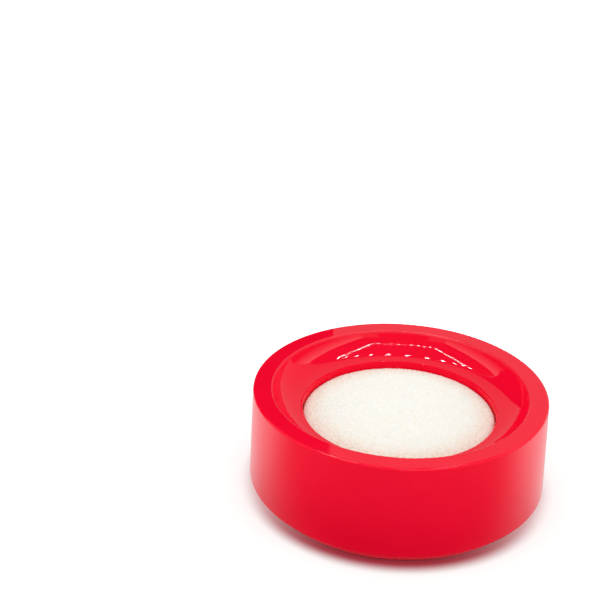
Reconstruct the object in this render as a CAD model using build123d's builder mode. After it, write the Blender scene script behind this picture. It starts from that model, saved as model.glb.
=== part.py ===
from build123d import *

import os
from math import cos, radians, sin, sqrt, tan

# Finger moistener: a round moulded cup with a flat rim, a hollow cove and a damp sponge in its
# throat. A tub under the throat holds the water, a snap-in cover closes the underside, and the
# whole cup stands on soft pads.
# The origin is on the table at the middle of the cup, with +Z up. Millimetres and degrees.

# Shell
base_diameter = 85.0  # across the bottom edge of the wall
shell_height = 27.0  # bottom edge of the wall to the flat rim
wall_draft = 1.9  # lean of the wall towards the rim
shell_wall = 2.0
rim_width = 5.4  # flat band round the top
rim_edge_radius = 0.6
cove_run = 8.7  # inner edge of the flat rim to the throat, across
cove_depth = 6.3  # flat rim to the lip of the throat, down
lip_radius = 0.35
throat_length = 6.0  # lip to the lower end of the throat
throat_end_radius = 0.6
shell_foot_radius = 0.5
seat_drop = 1.0  # seat for the tub, below the underside of the lip
seat_margin = 0.5  # seat wider than the tub's edge

# Water tub
cup_wall = 1.6
cup_floor = 1.6
cup_draft = 1.0
cup_inner_corner = 1.5
cup_rim_radius = 0.4
cup_clearance = 0.25  # between the throat and the tub

# Base cover
cover_drop = 2.6  # bottom edge of the wall to the cover's underside, down
cover_foot_inset = 0.5  # lean of the cover's edge below the wall
cover_thickness = 2.0
cover_clearance = 0.15  # between the cover's skirt and the wall
cover_edge_radius = 0.5
skirt_wall = 1.6
skirt_height = 7.0  # above the cover's underside
snap_bead_radius = 0.5
snap_height = 4.6  # middle of the snap bead above the cover's underside
cup_ring_wall = 1.4
cup_ring_height = 2.5
cup_ring_clearance = 0.2
rib_count = 8
rib_thickness = 1.2
rib_height = 2.0
gate_diameter = 8.0  # sunk spot in the middle of the underside, where the mould is filled
gate_depth = 0.5

# Foot pads
foot_places = ("rear_right", "rear_left", "front_left", "front_right")
first_foot_angle = 45.0
foot_diameter = 10.0
foot_stand = 0.4  # pad below the cover's underside
foot_inset = 3.0  # pad to the cover's edge
foot_recess = 1.0  # depth of a pad in the cover
foot_clearance = 0.2
foot_edge_radius = 0.3

# Sponge
sponge_clearance = 0.15  # between the sponge and the throat
sponge_recess = 0.1  # lip of the throat to the sponge's middle, down
sponge_crown = 0.5  # fall from the middle to the shoulder
sponge_shoulder_run = 7.0  # width of the shoulder, where the squeezed edge rolls down
sponge_shoulder_drop = 1.5  # fall over the shoulder
sponge_top_radius = 1.0
sponge_bottom_radius = 0.8

# Levels and radii that follow from the sizes above
base_radius = base_diameter / 2
stand_off = foot_stand + cover_drop
rim_level = stand_off + shell_height
rim_radius = base_radius - shell_height * tan(radians(wall_draft))
cove_top_radius = rim_radius - rim_width
throat_radius = cove_top_radius - cove_run
throat_outer_radius = throat_radius + shell_wall
lip_level = rim_level - cove_depth
throat_end_level = lip_level - throat_length
seat_level = lip_level - shell_wall - seat_drop

# The cove is an arc that runs out level at the lip
cove_radius = (cove_run**2 + cove_depth**2) / (2 * cove_depth)
cove_centre_level = lip_level + cove_radius
cove_back_radius = cove_radius + shell_wall

cover_level = foot_stand
cover_top_level = cover_level + cover_thickness
skirt_top_level = cover_level + skirt_height
snap_level = cover_level + snap_height

cup_floor_level = cover_top_level + cup_floor
cup_top_inner_radius = throat_outer_radius + cup_clearance
cup_top_outer_radius = cup_top_inner_radius + cup_wall
cup_lean = tan(radians(cup_draft))
cup_floor_inner_radius = cup_top_inner_radius - (seat_level - cup_floor_level) * cup_lean
cup_foot_radius = cup_top_outer_radius - (seat_level - cover_top_level) * cup_lean
cup_outer_corner = cup_inner_corner
seat_radius = cup_top_outer_radius + seat_margin

foot_count = len(foot_places)
foot_radius = foot_diameter / 2
sponge_radius = throat_radius - sponge_clearance
sponge_top_level = lip_level - sponge_recess
sponge_shoulder_level = sponge_top_level - sponge_crown
sponge_edge_level = sponge_shoulder_level - sponge_shoulder_drop


def wall_inner_radius(level):
    """Radius of the wall's inner face at a level."""
    outer = base_radius - (level - stand_off) * tan(radians(wall_draft))
    return outer - shell_wall / cos(radians(wall_draft))


def skirt_radius(level):
    """Radius of the cover's skirt at a level, just inside the wall."""
    return wall_inner_radius(level) - cover_clearance


def cove_back_point(radius):
    """Point of the cove's underside at a radius."""
    drop = sqrt(cove_back_radius**2 - (radius - throat_radius) ** 2)
    return (radius, cove_centre_level - drop)


os.makedirs("parts", exist_ok=True)

# Shell: wall, flat rim, cove, throat and the tub's seat in one turned section
under_rim_level = rim_level - shell_wall
cove_back_reach = sqrt(cove_back_radius**2 - (cove_centre_level - under_rim_level) ** 2)

with BuildPart() as body_shell:
    with BuildSketch(Plane.XZ) as shell_section:
        with BuildLine():
            Polyline(
                (cove_top_radius, rim_level),
                (rim_radius, rim_level),
                (base_radius, stand_off),
                (wall_inner_radius(stand_off), stand_off),
                (wall_inner_radius(under_rim_level), under_rim_level),
                (throat_radius + cove_back_reach, under_rim_level),
            )
            RadiusArc(
                (throat_radius + cove_back_reach, under_rim_level),
                cove_back_point(seat_radius),
                cove_back_radius,
            )
            Polyline(
                cove_back_point(seat_radius),
                (seat_radius, seat_level),
                (throat_outer_radius, seat_level),
                (throat_outer_radius, throat_end_level),
                (throat_radius, throat_end_level),
                (throat_radius, lip_level),
            )
            TangentArc((throat_radius, lip_level), (cove_top_radius, rim_level), tangent=(1, 0))
        make_face()
        fillet(shell_section.vertices().group_by(Axis.Y)[-1], rim_edge_radius)
        fillet(shell_section.vertices().group_by(Axis.Y)[0], shell_foot_radius)
        fillet(shell_section.vertices().sort_by_distance((throat_radius, lip_level))[0], lip_radius)
        fillet(
            shell_section.vertices().sort_by_distance((throat_radius, throat_end_level))[:2],
            throat_end_radius,
        )
        with Locations((skirt_radius(snap_level), snap_level)):
            Circle(snap_bead_radius + cover_clearance, mode=Mode.SUBTRACT)
    revolve(axis=Axis.Z)
body_shell.part.label = "body_shell"
export_step(body_shell.part, "parts/body_shell.step")

# Water tub: pushed up round the throat, its edge on the shell's seat
with BuildPart() as water_cup:
    with BuildSketch(Plane.XZ) as cup_section:
        with BuildLine():
            Polyline(
                (0, cover_top_level),
                (cup_foot_radius, cover_top_level),
                (cup_top_outer_radius, seat_level),
                (cup_top_inner_radius, seat_level),
                (cup_floor_inner_radius, cup_floor_level),
                (0, cup_floor_level),
                close=True,
            )
        make_face()
        fillet(cup_section.vertices().group_by(Axis.Y)[-1], cup_rim_radius)
        fillet(
            cup_section.vertices().sort_by_distance((cup_floor_inner_radius, cup_floor_level))[0],
            cup_inner_corner,
        )
        fillet(
            cup_section.vertices().sort_by_distance((cup_foot_radius, cover_top_level))[0],
            cup_outer_corner,
        )
    revolve(axis=Axis.Z)
water_cup.part.label = "water_cup"
export_step(water_cup.part, "parts/water_cup.step")

# Base cover: plate, snap-in skirt, ring that centres the tub, stiffening ribs and pad recesses
cup_ring_inner_radius = cup_foot_radius + cup_ring_clearance
cup_ring_outer_radius = cup_ring_inner_radius + cup_ring_wall
skirt_inner_radius = skirt_radius(skirt_top_level) - skirt_wall
rib_start = cup_ring_outer_radius - cup_ring_wall / 2
rib_end = skirt_inner_radius + skirt_wall / 2
cover_foot_radius = skirt_radius(stand_off) - cover_foot_inset
foot_circle_radius = cover_foot_radius - foot_inset - foot_radius

with BuildPart() as base_cover:
    with BuildSketch(Plane.XZ) as cover_section:
        with BuildLine():
            Polyline(
                (0, cover_level),
                (cover_foot_radius, cover_level),
                (skirt_radius(stand_off), stand_off),
                (skirt_radius(skirt_top_level), skirt_top_level),
                (skirt_inner_radius, skirt_top_level),
                (skirt_inner_radius, cover_top_level),
                (cup_ring_outer_radius, cover_top_level),
                (cup_ring_outer_radius, cover_top_level + cup_ring_height),
                (cup_ring_inner_radius, cover_top_level + cup_ring_height),
                (cup_ring_inner_radius, cover_top_level),
                (0, cover_top_level),
                close=True,
            )
        make_face()
        fillet(
            cover_section.vertices().sort_by_distance((cover_foot_radius, cover_level))[0],
            cover_edge_radius,
        )
        with Locations((skirt_radius(snap_level), snap_level)):
            Circle(snap_bead_radius)
    revolve(axis=Axis.Z)
    with BuildSketch(Plane.XY.offset(cover_top_level)):
        with PolarLocations((rib_start + rib_end) / 2, rib_count):
            Rectangle(rib_end - rib_start, rib_thickness)
    extrude(amount=rib_height)
    with BuildSketch(Plane.XY.offset(cover_level)):
        with PolarLocations(foot_circle_radius, foot_count, start_angle=first_foot_angle):
            Circle(foot_radius + foot_clearance)
    extrude(amount=foot_recess, mode=Mode.SUBTRACT)
    with BuildSketch(Plane.XY.offset(cover_level)):
        Circle(gate_diameter / 2)
    extrude(amount=gate_depth, mode=Mode.SUBTRACT)
base_cover.part.label = "base_cover"
export_step(base_cover.part, "parts/base_cover.step")

# Foot pads: stuck in the cover's recesses, standing on the table
for number, place in enumerate(foot_places):
    angle = radians(first_foot_angle + number * 360 / foot_count)
    middle = (foot_circle_radius * cos(angle), foot_circle_radius * sin(angle))
    with BuildPart() as foot_pad:
        with BuildSketch(Plane.XY):
            with Locations(middle):
                Circle(foot_radius)
        extrude(amount=cover_level + foot_recess)
        fillet(foot_pad.edges().group_by(Axis.Z)[0], foot_edge_radius)
    foot_pad.part.label = f"foot_pad_{place}"
    export_step(foot_pad.part, f"parts/foot_pad_{place}.step")

# Sponge: a foam disc that stands on the tub's floor and fills the throat, its edge rolled down
with BuildPart() as sponge:
    with BuildSketch(Plane.XZ) as sponge_section:
        with BuildLine():
            crown = TangentArc(
                (0, sponge_top_level),
                (sponge_radius - sponge_shoulder_run, sponge_shoulder_level),
                tangent=(1, 0),
            )
            shoulder = TangentArc(crown @ 1, (sponge_radius, sponge_edge_level), tangent=crown % 1)
            Polyline(
                shoulder @ 1,
                (sponge_radius, cup_floor_level),
                (0, cup_floor_level),
                crown @ 0,
            )
        make_face()
        fillet(
            sponge_section.vertices().sort_by_distance((sponge_radius, sponge_edge_level))[0],
            sponge_top_radius,
        )
        fillet(
            sponge_section.vertices().sort_by_distance((sponge_radius, cup_floor_level))[0],
            sponge_bottom_radius,
        )
    revolve(axis=Axis.Z)
sponge.part.label = "sponge"
export_step(sponge.part, "parts/sponge.step")
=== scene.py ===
import math

import bpy
import numpy as np
from mathutils import Matrix, Vector, kdtree


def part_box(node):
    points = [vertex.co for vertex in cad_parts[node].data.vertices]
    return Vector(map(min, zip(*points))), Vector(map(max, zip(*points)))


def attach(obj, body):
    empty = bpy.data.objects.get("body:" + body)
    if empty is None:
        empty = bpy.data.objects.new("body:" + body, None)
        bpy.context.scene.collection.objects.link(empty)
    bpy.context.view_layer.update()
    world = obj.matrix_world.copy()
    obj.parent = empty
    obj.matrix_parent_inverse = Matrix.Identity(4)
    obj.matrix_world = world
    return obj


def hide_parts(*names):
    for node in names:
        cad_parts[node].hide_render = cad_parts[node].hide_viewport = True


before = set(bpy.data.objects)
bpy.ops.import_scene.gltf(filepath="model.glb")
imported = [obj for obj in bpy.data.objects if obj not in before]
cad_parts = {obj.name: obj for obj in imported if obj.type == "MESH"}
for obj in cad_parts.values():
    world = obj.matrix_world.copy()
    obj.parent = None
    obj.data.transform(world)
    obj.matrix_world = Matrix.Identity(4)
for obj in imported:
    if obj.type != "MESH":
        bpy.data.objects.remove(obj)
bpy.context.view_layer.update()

# Sizes read from the frame, in metres
level_margin = 1e-5
rim_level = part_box("body_shell")[1].z
sponge_low, sponge_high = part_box("sponge")
shell_points = np.array([tuple(vertex.co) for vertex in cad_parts["body_shell"].data.vertices])
shell_reach = np.hypot(shell_points[:, 0], shell_points[:, 1])
throat_radius = shell_reach.min()
flat_rim_reach = shell_reach[shell_points[:, 2] > rim_level - level_margin]
flat_rim_start, flat_rim_end = flat_rim_reach.min(), flat_rim_reach.max()

# Camera, fitted to the outlines of the rim, cove, throat and bottom edge
camera_lens = 72.0
camera_sensor = 36.0
camera_distance = 0.3417
camera_elevation = math.radians(29.126)
camera_turn = math.radians(5.035)
camera_tilt = math.radians(-3.857)
camera_roll = math.radians(3.892)

# Form of the sponge
sponge_ring_step = 0.00022
ring_growth = 6
sponge_crown = 0.0005
sponge_shoulder_run = 0.0070
sponge_shoulder_drop = 0.0015
sponge_top_edge = 0.0010
sponge_bottom_edge = 0.0008
sponge_throat_gap = 0.00006
pore_spacing = 0.00050
pore_radius_range = (0.00014, 0.00034)
pore_depth_share = 0.50
foam_wave_count = 14
foam_wave_length = (0.004, 0.014)
foam_wave_height = 0.00006
foam_underside_share = 0.5
foam_seed = 11

# Colours, linear
red_plastic = (0.92, 0.0030, 0.029)
red_plastic_dark = (0.89, 0.0025, 0.026)
rubber_grey = (0.020, 0.020, 0.022)
rubber_grey_light = (0.034, 0.034, 0.0374)
foam_cream = (0.98, 0.98, 0.89)
# Colour in the pores: painted shade, also used for random tone
foam_pore_shade_and_tone = (0.92, 0.89, 0.74)
# Painted red bounce light and painted shade for the sponge's top edge
foam_painted_red_bounce = (0.98, 0.34, 0.17)
# Painted dark specks of shade in the pores at the sponge's top edge
foam_pore_shade_speck = (0.62, 0.36, 0.27)
white = (1.0, 1.0, 1.0, 1.0)

# Finish of the surfaces. A scale is in noise features per metre, a band is the part of the noise
# that is used, and a bump is a depth in metres and a strength.
plastic_ior = 1.45
plastic_cloud_band = (0.35, 0.65)
shell_cloud_scale = 55.0
smudge_scale = 130.0
smudge_band = (0.45, 0.75)
smudge_roughness = (0.02, 0.05)
hairline_scales = (60.0, 3200.0, 60.0)
hairline_band = (0.70, 0.76)
hairline_turns = (0.4, 1.9)
hairline_roughness = 0.10
rim_edge_run = 0.0006
rim_edge_soft = 0.0001
rim_edge_roughness = 0.30
wall_start_run = 0.0005
wall_satin_scale = 300.0
wall_satin_band = (0.3, 0.7)
wall_satin_roughness = (0.24, 0.26)
wall_gloss_facing = (0.15, 0.60)
wall_gloss_level = (0.12, 0.80)
throat_gloss_run = 0.0006
inner_gloss_level = (0.08, 0.5)
ripple_scale = 150.0
ripple_bump = (0.00005, 0.3)
tub_cloud_scale = 70.0
tub_satin_scale = 420.0
tub_satin_band = (0.3, 0.7)
tub_satin_roughness = (0.32, 0.46)
tub_grain_scale = 3600.0
tub_grain_bump = (0.00003, 0.35)
rubber_cloud_scale = 600.0
rubber_cloud_band = (0.3, 0.7)
rubber_roughness = (0.7, 0.85)
rubber_grain_scale = 2600.0
rubber_grain_bump = (0.00006, 0.5)
foam_cloud_scale = 220.0
foam_cloud_band = (0.4, 0.7)
foam_cloud_share = 0.25
# Reach, heights and share of the painted red bounce light and shade at the sponge's top edge
foam_painted_bounce_width = 0.009
foam_painted_bounce_drop = (0.0170, 0.0020)
foam_painted_bounce_share = 0.20
# Band and share of the painted pore shade specks along the top edge
foam_pore_shade_band = (0.30, 0.60)
foam_pore_shade_share = 0.20
foam_grain_scale = 5000.0
foam_grain_bump = (0.00006, 0.5)
foam_roughness = 0.95
foam_scatter_weight = 0.7
foam_scatter_radius = (1.0, 0.85, 0.75)
foam_scatter_scale = 0.003

# Floor. A reach is a distance from the cup's axis; the front and the mirror go by Y.
floor_half_width = 3.0
floor_shade = 0.85
floor_roughness = 0.6
# Beside the foot the floor is painted a cooler tint that offsets its red bounce light
floor_beside_reach = (0.046, 0.056)
floor_beside_shade = (0.76, 0.85, 0.83)
# Painted shadow at the cup's foot, reddened as painted red bounce light, stronger in front
floor_contact_reach = (0.0408, 0.0461)
floor_painted_red_shadow = (0.52, 0.09, 0.13)
floor_contact_front = (-0.040, -0.010)
floor_contact_share = (1.0, 0.3)
floor_lift_reach = (0.05, 0.15)
floor_lift_level = (0.32, 1.0)
# For bounced light only, painted shade on the floor near the cup, which darkens the wall's lower part; right
# under the wall the floor stays pale
floor_bounce_near = (0.0435, 0.0480)
floor_bounce_reach = (0.048, 0.10)
floor_bounce_shade = (0.08, 0.85)
floor_mirror_front = (-0.050, 0.005)
floor_mirror_level = (0.04, 1.0)

# Light tent, with the two lamps and what shows only in the gloss
tent_light = 1.0
tent_gloss = 0.05
tent_half_width = 0.32
tent_front = -0.36
tent_back = 0.19
tent_height = 0.33
tent_opening_half_width = 0.165
tent_side_reach = (0.12, 0.33)
tent_side_level = (0.05, 1.8)
tent_end_level = 0.45
fill_place = (0.36, -0.10, 0.10)
fill_width = 0.20
fill_height = 0.14
fill_powers = (0.26, 0.28)
led_front = -0.122
led_back = 0.137
led_half_width = 0.122
led_row_count = 11
led_row_shift = -0.007
led_side_count = 12
led_width = 0.006
led_length = 0.010
led_strength = 85.0
flag_left = -0.25
flag_right = -0.026
flag_back = 0.10
flag_height = 0.16
flag_level = 0.0


def new_material(name):
    """A material with nodes, its tree and its main shader."""
    material = bpy.data.materials.new(name)
    material.use_nodes = True
    tree = material.node_tree
    return material, tree, tree.nodes["Principled BSDF"]


def add_node(tree, kind, settings=None, values=None):
    """A node with its settings and the values of its unlinked sockets."""
    node = tree.nodes.new(kind)
    for name, value in (settings or {}).items():
        setattr(node, name, value)
    for name, value in (values or {}).items():
        node.inputs[name].default_value = value
    return node


def feed(tree, node, values):
    """Links values to the named sockets of a node."""
    for name, value in values.items():
        tree.links.new(value, node.inputs[name])


def object_coordinates(tree):
    return add_node(tree, "ShaderNodeTexCoord").outputs["Object"]


def component(tree, place, axis):
    """The X, Y or Z of a place."""
    split = add_node(tree, "ShaderNodeSeparateXYZ")
    tree.links.new(place, split.inputs["Vector"])
    return split.outputs[axis]


def axis_distance(tree, place):
    """Distance from the cup's axis."""
    flat = add_node(tree, "ShaderNodeVectorMath", {"operation": "MULTIPLY"})
    flat.inputs[1].default_value = (1.0, 1.0, 0.0)
    tree.links.new(place, flat.inputs[0])
    length = add_node(tree, "ShaderNodeVectorMath", {"operation": "LENGTH"})
    tree.links.new(flat.outputs["Vector"], length.inputs[0])
    return length.outputs["Value"]


def noise(tree, place, scale, detail=2.0, roughness=0.5):
    """Value of a noise with features about 1/scale metres wide."""
    node = add_node(
        tree,
        "ShaderNodeTexNoise",
        values={"Scale": scale, "Detail": detail, "Roughness": roughness},
    )
    tree.links.new(place, node.inputs["Vector"])
    return node.outputs["Fac"]


def remap(tree, value, low, high, to_low, to_high, smooth=False):
    """Value mapped from one range to another and held inside it."""
    node = add_node(
        tree,
        "ShaderNodeMapRange",
        {"interpolation_type": "SMOOTHSTEP" if smooth else "LINEAR"},
        {"From Min": low, "From Max": high, "To Min": to_low, "To Max": to_high},
    )
    tree.links.new(value, node.inputs["Value"])
    return node.outputs["Result"]


def combine(tree, operation, first, second):
    """Two values joined by a sum, product or the like."""
    node = add_node(tree, "ShaderNodeMath", {"operation": operation})
    for socket, value in zip(node.inputs, (first, second)):
        if isinstance(value, (int, float)):
            socket.default_value = value
        else:
            tree.links.new(value, socket)
    return node.outputs["Value"]


def mix_values(tree, share, first, second):
    node = add_node(tree, "ShaderNodeMix", {"data_type": "FLOAT"})
    feed(tree, node, {"Factor": share, "A": first, "B": second})
    return node.outputs["Result"]


def mix_colours(tree, share, first, second):
    """A mix of two colours, each of them a tuple or a socket."""
    node = add_node(tree, "ShaderNodeMix", {"data_type": "RGBA"})
    first_socket, second_socket = [socket for socket in node.inputs if socket.type == "RGBA"]
    for socket, colour in ((first_socket, first), (second_socket, second)):
        if isinstance(colour, tuple):
            socket.default_value = (*colour, 1.0)
        else:
            tree.links.new(colour, socket)
    tree.links.new(share, node.inputs["Factor"])
    return next(socket for socket in node.outputs if socket.type == "RGBA")


def hairlines(tree, place, turn):
    """Sparse fine scratches along one direction: 1 on a scratch, 0 beside it."""
    mapping = add_node(tree, "ShaderNodeMapping")
    mapping.inputs["Rotation"].default_value = (0.0, 0.0, turn)
    mapping.inputs["Scale"].default_value = hairline_scales
    tree.links.new(place, mapping.inputs["Vector"])
    stretched = noise(tree, mapping.outputs["Vector"], scale=1.0, detail=1.0)
    return remap(tree, stretched, *hairline_band, 0.0, 1.0)


def add_bump(tree, height, depth, strength):
    node = add_node(tree, "ShaderNodeBump", values={"Distance": depth, "Strength": strength})
    tree.links.new(height, node.inputs["Height"])
    return node.outputs["Normal"]


def shell_roughness(tree, place, away, on_wall):
    """Polished rim and cove with smudges, hairlines and a softer inner rim edge, and a satin wall."""
    smudge_noise = noise(tree, place, smudge_scale, detail=6.0, roughness=0.62)
    smudge = remap(tree, smudge_noise, *smudge_band, *smudge_roughness)
    scratch = combine(tree, "MAXIMUM", *(hairlines(tree, place, turn) for turn in hairline_turns))
    polished = combine(tree, "ADD", smudge, combine(tree, "MULTIPLY", scratch, hairline_roughness))
    edge_start = flat_rim_start - rim_edge_run
    edge_in = remap(tree, away, edge_start - rim_edge_soft, edge_start, 0.0, rim_edge_roughness, smooth=True)
    edge_out = remap(tree, away, flat_rim_start, flat_rim_start + rim_edge_soft, 1.0, 0.0, smooth=True)
    polished = combine(tree, "MAXIMUM", polished, combine(tree, "MULTIPLY", edge_in, edge_out))
    satin_noise = noise(tree, place, wall_satin_scale, detail=3.0)
    satin = remap(tree, satin_noise, *wall_satin_band, *wall_satin_roughness)
    return mix_values(tree, on_wall, polished, satin)


def shell_gloss(tree, away, on_wall):
    """Gloss that is weak on the wall seen square on, and in the throat."""
    facing = add_node(tree, "ShaderNodeLayerWeight", values={"Blend": 0.5}).outputs["Facing"]
    wall_gloss = remap(tree, facing, *wall_gloss_facing, *wall_gloss_level, smooth=True)
    throat_end = throat_radius + throat_gloss_run
    inner_gloss = remap(tree, away, throat_radius, throat_end, *inner_gloss_level, smooth=True)
    off_wall = remap(tree, on_wall, 0.0, 1.0, 1.0, 0.0)
    return mix_values(tree, off_wall, wall_gloss, inner_gloss)


def shell_material():
    """Red plastic with a faint ripple: polished rim and cove, and a satin wall."""
    material, tree, shader = new_material("shell_red")
    place = object_coordinates(tree)
    away = axis_distance(tree, place)
    wall_start = flat_rim_end + wall_start_run
    on_wall = remap(tree, away, flat_rim_end, wall_start, 0.0, 1.0, smooth=True)
    cloud = remap(tree, noise(tree, place, shell_cloud_scale, detail=3.0), *plastic_cloud_band, 0.0, 1.0)
    feed(tree, shader, {
        "Base Color": mix_colours(tree, cloud, red_plastic_dark, red_plastic),
        "Roughness": shell_roughness(tree, place, away, on_wall),
        "Specular IOR Level": shell_gloss(tree, away, on_wall),
        "Normal": add_bump(tree, noise(tree, place, ripple_scale, detail=1.0), *ripple_bump),
    })
    shader.inputs["IOR"].default_value = plastic_ior
    return material


def tub_material():
    """Satin red plastic of the tub and the base cover, with a fine mould grain."""
    material, tree, shader = new_material("tub_red")
    place = object_coordinates(tree)
    cloud = remap(tree, noise(tree, place, tub_cloud_scale, detail=4.0), *plastic_cloud_band, 0.0, 1.0)
    satin = noise(tree, place, tub_satin_scale, detail=4.0)
    feed(tree, shader, {
        "Base Color": mix_colours(tree, cloud, red_plastic_dark, red_plastic),
        "Roughness": remap(tree, satin, *tub_satin_band, *tub_satin_roughness),
        "Normal": add_bump(tree, noise(tree, place, tub_grain_scale, detail=3.0), *tub_grain_bump),
    })
    shader.inputs["IOR"].default_value = plastic_ior
    return material


def rubber_material():
    """Dark soft rubber with a fine grain."""
    material, tree, shader = new_material("foot_rubber")
    place = object_coordinates(tree)
    cloud = noise(tree, place, rubber_cloud_scale, detail=4.0)
    share = remap(tree, cloud, *rubber_cloud_band, 0.0, 1.0)
    feed(tree, shader, {
        "Base Color": mix_colours(tree, share, rubber_grey, rubber_grey_light),
        "Roughness": remap(tree, cloud, *rubber_cloud_band, *rubber_roughness),
        "Normal": add_bump(tree, noise(tree, place, rubber_grain_scale, detail=4.0), *rubber_grain_bump),
    })
    return material


def foam_material():
    """Cream foam with random tone and painted shade in its pores, and with painted red bounce light, painted
    shade and painted dark pore specks along its top edge.
    """
    material, tree, shader = new_material("sponge_foam")
    place = object_coordinates(tree)
    pore = add_node(tree, "ShaderNodeAttribute", {"attribute_name": "pore"}).outputs["Fac"]
    cloud_noise = noise(tree, place, foam_cloud_scale, detail=4.0)
    cloud = remap(tree, cloud_noise, *foam_cloud_band, 0.0, foam_cloud_share)
    # Pores get painted shade by their depth; the cloud gives random tone
    pore_shaded_cream = mix_colours(tree, combine(tree, "MAXIMUM", pore, cloud), foam_cream, foam_pore_shade_and_tone)
    away = axis_distance(tree, place)
    # Painted red bounce light and painted shade in a band along the top edge, by the throat
    around = remap(tree, away, throat_radius - foam_painted_bounce_width, throat_radius, 0.0, 1.0, smooth=True)
    fade_low, fade_high = (sponge_high.z - drop for drop in foam_painted_bounce_drop)
    near_top = remap(tree, component(tree, place, "Z"), fade_low, fade_high, 0.0, 1.0, smooth=True)
    edge = combine(tree, "MULTIPLY", around, near_top)
    painted_bounce_colour = mix_colours(tree, combine(tree, "MULTIPLY", edge, foam_painted_bounce_share), pore_shaded_cream, foam_painted_red_bounce)
    # Painted dark specks of shade in the deeper pores along the top edge
    open_pore = remap(tree, pore, *foam_pore_shade_band, 0.0, foam_pore_shade_share, smooth=True)
    pore_shade_specks = combine(tree, "MULTIPLY", open_pore, edge)
    feed(tree, shader, {
        "Base Color": mix_colours(tree, pore_shade_specks, painted_bounce_colour, foam_pore_shade_speck),
        "Normal": add_bump(tree, noise(tree, place, foam_grain_scale, detail=3.0), *foam_grain_bump),
    })
    shader.inputs["Roughness"].default_value = foam_roughness
    shader.inputs["Specular IOR Level"].default_value = 0.0
    shader.inputs["Subsurface Weight"].default_value = foam_scatter_weight
    shader.inputs["Subsurface Radius"].default_value = foam_scatter_radius
    shader.inputs["Subsurface Scale"].default_value = foam_scatter_scale
    return material


def crown_fall(reach, radius):
    """Fall of the sponge's top at a distance from its middle, and its slope there."""
    start = radius - sponge_shoulder_run
    if reach <= start:
        return sponge_crown * (reach / start) ** 2, 2 * sponge_crown * reach / start**2
    beyond = reach - start
    first_slope = 2 * sponge_crown / start
    bend = (sponge_shoulder_drop - first_slope * sponge_shoulder_run) / sponge_shoulder_run**2
    return sponge_crown + first_slope * beyond + bend * beyond**2, first_slope + 2 * bend * beyond


def meridian_rings(radius, low, high):
    """Rings of the sponge from the middle of its top to the middle of its bottom.

    Each is (radius, level, points); on the flats the points grow by ring_growth a ring.
    """
    end_slope = crown_fall(radius, radius)[1]
    top_reach = radius - sponge_top_edge * (1 - math.sin(math.atan(end_slope)))
    count = round(top_reach / sponge_ring_step)
    most_points = ring_growth * count
    rings = []
    for k in range(1, count + 1):
        reach = top_reach * k / count
        rings.append((reach, high - crown_fall(reach, radius)[0], ring_growth * k))
    first_turn = math.atan(crown_fall(top_reach, radius)[1])
    side_top = rings[-1][1] - sponge_top_edge * math.cos(first_turn)
    arc_steps = round(sponge_top_edge * (math.pi / 2 - first_turn) / sponge_ring_step)
    for i in range(1, arc_steps + 1):
        turn = first_turn + (math.pi / 2 - first_turn) * i / arc_steps
        reach = radius - sponge_top_edge * (1 - math.sin(turn))
        rings.append((reach, side_top + sponge_top_edge * math.cos(turn), most_points))
    side_bottom = low + sponge_bottom_edge
    side_steps = round((side_top - side_bottom) / sponge_ring_step)
    for i in range(1, side_steps + 1):
        rings.append((radius, side_top + (side_bottom - side_top) * i / side_steps, most_points))
    arc_steps = round(sponge_bottom_edge * math.pi / 2 / sponge_ring_step)
    for i in range(1, arc_steps + 1):
        turn = math.pi / 2 * i / arc_steps
        reach = radius - sponge_bottom_edge * (1 - math.cos(turn))
        rings.append((reach, side_bottom - sponge_bottom_edge * math.sin(turn), most_points))
    for k in range(count - 1, 0, -1):
        rings.append(((radius - sponge_bottom_edge) * k / count, low, ring_growth * k))
    return rings


def ring_triangles(first_start, first_points, second_start, second_points):
    """Triangles between two rings of equal points, or whose points differ by ring_growth."""
    if first_points == second_points:
        i = np.arange(first_points)
        j = (i + 1) % first_points
        a, b = first_start + i, first_start + j
        c, d = second_start + i, second_start + j
        return np.concatenate([np.stack([a, c, d], 1), np.stack([a, d, b], 1)])
    growing = second_points > first_points
    small_start, large_start = (first_start, second_start) if growing else (second_start, first_start)
    small = min(first_points, second_points) // ring_growth
    large = small + 1
    i = np.arange(large)
    made = []
    for sector in range(ring_growth):
        inner = small_start + (sector * small + i) % (ring_growth * small)
        outer = large_start + sector * large + i
        outer_next = large_start + (sector * large + i + 1) % (ring_growth * large)
        made.append(np.stack([inner, outer, outer_next], 1))
        inner_next = small_start + (sector * small + i[1:]) % (ring_growth * small)
        made.append(np.stack([inner[:-1], outer_next[:-1], inner_next], 1))
    triangles = np.concatenate(made)
    return triangles if growing else triangles[:, ::-1]


def closed_by_rings(rings, top, bottom):
    """Points and triangles of a closed turned form from its rings and its two end points."""
    points = [np.array([[0.0, 0.0, top]])]
    starts = []
    total = 1
    for reach, level, number in rings:
        turn = 2 * math.pi * np.arange(number) / number
        points.append(np.stack([reach * np.cos(turn), reach * np.sin(turn), np.full(number, level)], 1))
        starts.append(total)
        total += number
    points.append(np.array([[0.0, 0.0, bottom]]))
    corner = np.arange(ring_growth)
    next_corner = (corner + 1) % ring_growth
    top_middle, bottom_middle = np.zeros(ring_growth, int), np.full(ring_growth, total)
    triangles = [np.stack([top_middle, starts[0] + corner, starts[0] + next_corner], 1)]
    numbers = [number for _, _, number in rings]
    for k in range(len(rings) - 1):
        triangles.append(ring_triangles(starts[k], numbers[k], starts[k + 1], numbers[k + 1]))
    triangles.append(np.stack([bottom_middle, starts[-1] + next_corner, starts[-1] + corner], 1))
    return np.concatenate(points), np.concatenate(triangles)


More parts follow.
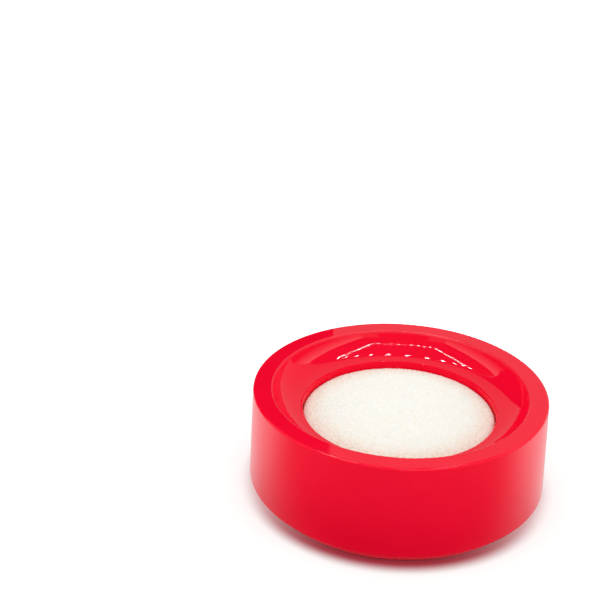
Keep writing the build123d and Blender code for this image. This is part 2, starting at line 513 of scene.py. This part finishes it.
def mesh_object(name, points, faces, material):
    """A mesh with one material, placed in the scene."""
    mesh = bpy.data.meshes.new(name)
    mesh.from_pydata(points, [], faces)
    mesh.materials.append(material)
    made = bpy.data.objects.new(name, mesh)
    bpy.context.scene.collection.objects.link(made)
    return made


def vertex_normals(points, triangles):
    a, b, c = (points[triangles[:, i]] for i in range(3))
    face = np.cross(b - a, c - a)
    normals = np.zeros_like(points)
    for i in range(3):
        np.add.at(normals, triangles[:, i], face)
    return normals / np.linalg.norm(normals, axis=1, keepdims=True)


def pore_depths(points, draw):
    """Depth of the pores at each point: round pits scattered over the surface."""
    tree = kdtree.KDTree(len(points))
    for index, point in enumerate(points):
        tree.insert(point, index)
    tree.balance()
    radius, height = sponge_high.x, sponge_high.z - sponge_low.z
    surface = 2 * math.pi * radius * (radius + height)
    number = round(surface / pore_spacing**2)
    depths = np.zeros(len(points))
    for centre in draw.choice(len(points), number, replace=False):
        reach = draw.uniform(*pore_radius_range)
        for _, index, distance in tree.find_range(points[centre], reach):
            fall = 1 - (distance / reach) ** 2
            depths[index] = max(depths[index], pore_depth_share * reach * fall)
    return depths


def soft_waves(points, draw):
    """Gentle unevenness of a cut foam surface, from 0 to foam_wave_height."""
    total = np.zeros(len(points))
    for _ in range(foam_wave_count):
        direction = draw.normal(size=3)
        direction /= np.linalg.norm(direction)
        length = draw.uniform(*foam_wave_length)
        total += np.sin(2 * math.pi * (points @ direction) / length + draw.uniform(0, 2 * math.pi))
    total = (total - total.min()) / (total.max() - total.min())
    return foam_wave_height * total


def build_sponge():
    """Crowned foam disc with open pores, cut into its surface so that it stays in its own space."""
    radius = throat_radius - sponge_throat_gap
    rings = meridian_rings(radius, sponge_low.z, sponge_high.z)
    points, triangles = closed_by_rings(rings, sponge_high.z, sponge_low.z)
    draw = np.random.default_rng(foam_seed)
    depths = pore_depths(points, draw)
    inward = depths + soft_waves(points, draw)
    inward[points[:, 2] < sponge_low.z + level_margin] *= foam_underside_share
    points = points - vertex_normals(points, triangles) * inward[:, None]
    made = mesh_object("sponge_foam", points.tolist(), triangles.tolist(), foam_material())
    made.data.polygons.foreach_set("use_smooth", np.ones(len(triangles), bool))
    # The pore depth drives painted shade in the pores
    pore = made.data.attributes.new("pore", "FLOAT", "POINT")
    deepest = pore_depth_share * pore_radius_range[1]
    pore.data.foreach_set("value", (depths / deepest).astype(np.float32))
    made.data.update()
    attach(made, "sponge")
    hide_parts("sponge")


def dress(node, material):
    """Gives a CAD node its material."""
    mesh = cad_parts[node].data
    mesh.materials.clear()
    mesh.materials.append(material)


def light_path(tree):
    """Whether a ray comes straight from the camera, also through glass, and whether from a gloss."""
    path = add_node(tree, "ShaderNodeLightPath")
    straight = combine(tree, "MAXIMUM", path.outputs["Is Camera Ray"], path.outputs["Is Transmission Ray"])
    return straight, path.outputs["Is Glossy Ray"]


def floor_material():
    """Pale floor, white where the object casts no shadow, with a painted reddish shadow at its foot, a
    painted cooler tint beside it, painted shade near the cup for bounced light, and a painted reflection for
    the gloss, dark in front and white behind.
    """
    material, tree, shader = new_material("floor_white")
    place = object_coordinates(tree)
    away = axis_distance(tree, place)
    along = component(tree, place, "Y")
    straight, glossy = light_path(tree)
    # Painted shadow with painted red bounce light at the foot, stronger in front
    near = remap(tree, away, *floor_contact_reach, 1.0, 0.0, smooth=True)
    ahead = remap(tree, along, *floor_contact_front, *floor_contact_share, smooth=True)
    contact = combine(tree, "MULTIPLY", near, ahead)
    # Painted cooler tint beside the foot, offsetting red bounce light
    beside = remap(tree, away, *floor_beside_reach, 1.0, 0.0, smooth=True)
    pale = mix_colours(tree, beside, (floor_shade, floor_shade, floor_shade), floor_beside_shade)
    shaded = mix_colours(tree, contact, pale, floor_painted_red_shadow)
    # Painted shade near the cup for bounced light, kept pale under the wall
    outside = remap(tree, away, *floor_bounce_reach, *floor_bounce_shade, smooth=True)
    beneath = remap(tree, away, *floor_bounce_near, floor_shade, 0.0, smooth=True)
    bounce = combine(tree, "MAXIMUM", outside, beneath)
    lift = remap(tree, away, *floor_lift_reach, *floor_lift_level, smooth=True)
    clear_lift = combine(tree, "MULTIPLY", lift, combine(tree, "SUBTRACT", 1.0, contact))
    feed(tree, shader, {
        "Base Color": mix_colours(tree, straight, bounce, shaded),
        "Emission Strength": combine(tree, "MULTIPLY", clear_lift, straight),
    })
    shader.inputs["Roughness"].default_value = floor_roughness
    shader.inputs["Specular IOR Level"].default_value = 0.0
    shader.inputs["Emission Color"].default_value = white
    mirror = add_node(tree, "ShaderNodeEmission")
    mirror_level = remap(tree, along, *floor_mirror_front, *floor_mirror_level, smooth=True)
    tree.links.new(mirror_level, mirror.inputs["Strength"])
    both = add_node(tree, "ShaderNodeMixShader")
    tree.links.new(glossy, both.inputs["Fac"])
    tree.links.new(shader.outputs["BSDF"], both.inputs[1])
    tree.links.new(mirror.outputs["Emission"], both.inputs[2])
    tree.links.new(both.outputs["Shader"], tree.nodes["Material Output"].inputs["Surface"])
    material.cycles.emission_sampling = "NONE"
    return material


def stage_mesh(name, points, faces, material):
    made = mesh_object(name, points, faces, material)
    return made


def add_floor():
    """Wide floor at the level that the pads stand on."""
    reach = floor_half_width
    corners = [(-reach, -reach, 0), (reach, -reach, 0), (reach, reach, 0), (-reach, reach, 0)]
    stage_mesh("floor", corners, [(0, 1, 2, 3)], floor_material())


def add_world():
    """White tent light round the object, full white where it is seen and dark in reflections."""
    world = bpy.data.worlds.new("studio")
    bpy.context.scene.world = world
    world.use_nodes = True
    world.cycles.sampling_method = "NONE"
    tree = world.node_tree
    background = tree.nodes["Background"]
    background.inputs["Color"].default_value = white
    straight, glossy = light_path(tree)
    lit = remap(tree, straight, 0.0, 1.0, tent_light, 1.0)
    kept = remap(tree, glossy, 0.0, 1.0, 1.0, tent_gloss)
    tree.links.new(combine(tree, "MULTIPLY", lit, kept), background.inputs["Strength"])


def add_lamp(name, place, power):
    """Area lamp that faces the object and doesn't show in its gloss."""
    lamp = bpy.data.lights.new(name, "AREA")
    lamp.shape = "RECTANGLE"
    lamp.size = fill_width
    lamp.size_y = fill_height
    lamp.energy = power
    made = bpy.data.objects.new(name, lamp)
    made.location = place
    aim = Vector((0, 0, rim_level)) - Vector(place)
    made.rotation_mode = "QUATERNION"
    made.rotation_quaternion = aim.to_track_quat("-Z", "Y")
    made.visible_camera = False
    made.visible_glossy = False
    bpy.context.scene.collection.objects.link(made)


def add_lamps():
    """Two soft lamps at the left and right, a little to the front."""
    across, along, height = fill_place
    for side, name, power in zip((-1, 1), ("fill_left", "fill_right"), fill_powers):
        add_lamp(name, (side * across, along, height), power)


def glow_material(name, strength, rise=None):
    """Plain light for what only shows in the gloss: of one strength, or rising with the height."""
    material = bpy.data.materials.new(name)
    material.use_nodes = True
    tree = material.node_tree
    tree.nodes.clear()
    output = add_node(tree, "ShaderNodeOutputMaterial")
    glow = add_node(tree, "ShaderNodeEmission")
    if rise is None:
        glow.inputs["Strength"].default_value = strength
    else:
        height = component(tree, object_coordinates(tree), "Z")
        tree.links.new(remap(tree, height, *rise, *strength), glow.inputs["Strength"])
    tree.links.new(glow.outputs["Emission"], output.inputs["Surface"])
    return material


def only_in_reflections(made):
    made.visible_camera = False
    made.visible_diffuse = False
    made.visible_transmission = False
    made.visible_shadow = False


def upright_panels(name, ends, height, material):
    """Upright panels from the floor, each between two places, that only show in reflections."""
    points, faces = [], []
    for (x0, y0), (x1, y1) in ends:
        start = len(points)
        points += [(x0, y0, 0), (x1, y1, 0), (x1, y1, height), (x0, y0, height)]
        faces.append(range(start, start + 4))
    material.cycles.emission_sampling = "NONE"
    only_in_reflections(stage_mesh(name, points, faces, material))


def add_tent():
    """Walls of the light tent, with an opening in front, as they show in the polished plastic."""
    side, gap = tent_half_width, tent_opening_half_width
    upright_panels(
        "tent_sides",
        [((x, tent_front), (x, tent_back)) for x in (-side, side)],
        tent_height,
        glow_material("tent_side_glow", tent_side_level, tent_side_reach),
    )
    back_wall = ((-side, tent_back), (side, tent_back))
    front_left = ((-side, tent_front), (-gap, tent_front))
    front_right = ((gap, tent_front), (side, tent_front))
    upright_panels(
        "tent_ends",
        [back_wall, front_left, front_right],
        tent_height,
        glow_material("tent_end_glow", tent_end_level),
    )


def add_led_ring():
    """Rows of small bright spots in a square above the object, which show in the polished cove."""
    across = np.linspace(-led_half_width, led_half_width, led_row_count) + led_row_shift
    along = np.linspace(led_front, led_back, led_side_count + 2)[1:-1]
    spots = [(x, y, led_width, led_length) for y in (led_front, led_back) for x in across]
    spots += [(x, y, led_length, led_width) for x in (-led_half_width, led_half_width) for y in along]
    points, faces = [], []
    for x, y, width, length in spots:
        start = len(points)
        for dx, dy in ((-1, -1), (-1, 1), (1, 1), (1, -1)):
            points.append((x + dx * width / 2, y + dy * length / 2, tent_height))
        faces.append(range(start, start + 4))
    only_in_reflections(stage_mesh("led_ring", points, faces, glow_material("led_glow", led_strength)))


def add_flag():
    """Black card behind the object's left side, which keeps the left of the polished rim deep red."""
    ends = [((flag_left, flag_back), (flag_right, flag_back))]
    upright_panels("flag", ends, flag_height, glow_material("flag_dark", flag_level))


def add_camera():
    """Camera at the photograph's place: it looks past the rim's middle by a turn and a tilt, and rolls."""
    right = Vector((1, 0, 0))
    back = Vector((0, -math.cos(camera_elevation), math.sin(camera_elevation)))
    up = back.cross(right)
    ahead = -back
    turned_right = right * math.cos(camera_turn) + ahead * math.sin(camera_turn)
    turned_ahead = ahead * math.cos(camera_turn) - right * math.sin(camera_turn)
    tilted_up = up * math.cos(camera_tilt) + turned_ahead * math.sin(camera_tilt)
    tilted_ahead = turned_ahead * math.cos(camera_tilt) - up * math.sin(camera_tilt)
    final_right = turned_right * math.cos(camera_roll) + tilted_up * math.sin(camera_roll)
    final_up = tilted_up * math.cos(camera_roll) - turned_right * math.sin(camera_roll)
    camera = bpy.data.cameras.new("camera")
    camera.sensor_width = camera_sensor
    camera.lens = camera_lens
    made = bpy.data.objects.new("camera", camera)
    place = Vector((0, 0, rim_level)) + back * camera_distance
    turn = Matrix((final_right, final_up, -tilted_ahead)).transposed()
    made.matrix_world = Matrix.Translation(place) @ turn.to_4x4()
    bpy.context.scene.collection.objects.link(made)
    bpy.context.scene.camera = made


dress("body_shell", shell_material())
tub = tub_material()
dress("water_cup", tub)
dress("base_cover", tub)
rubber = rubber_material()
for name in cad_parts:
    if name.startswith("foot_pad"):
        dress(name, rubber)
build_sponge()

add_floor()
add_world()
add_lamps()
add_tent()
add_led_ring()
add_flag()
add_camera()
bpy.context.scene.view_settings.view_transform = "Standard"
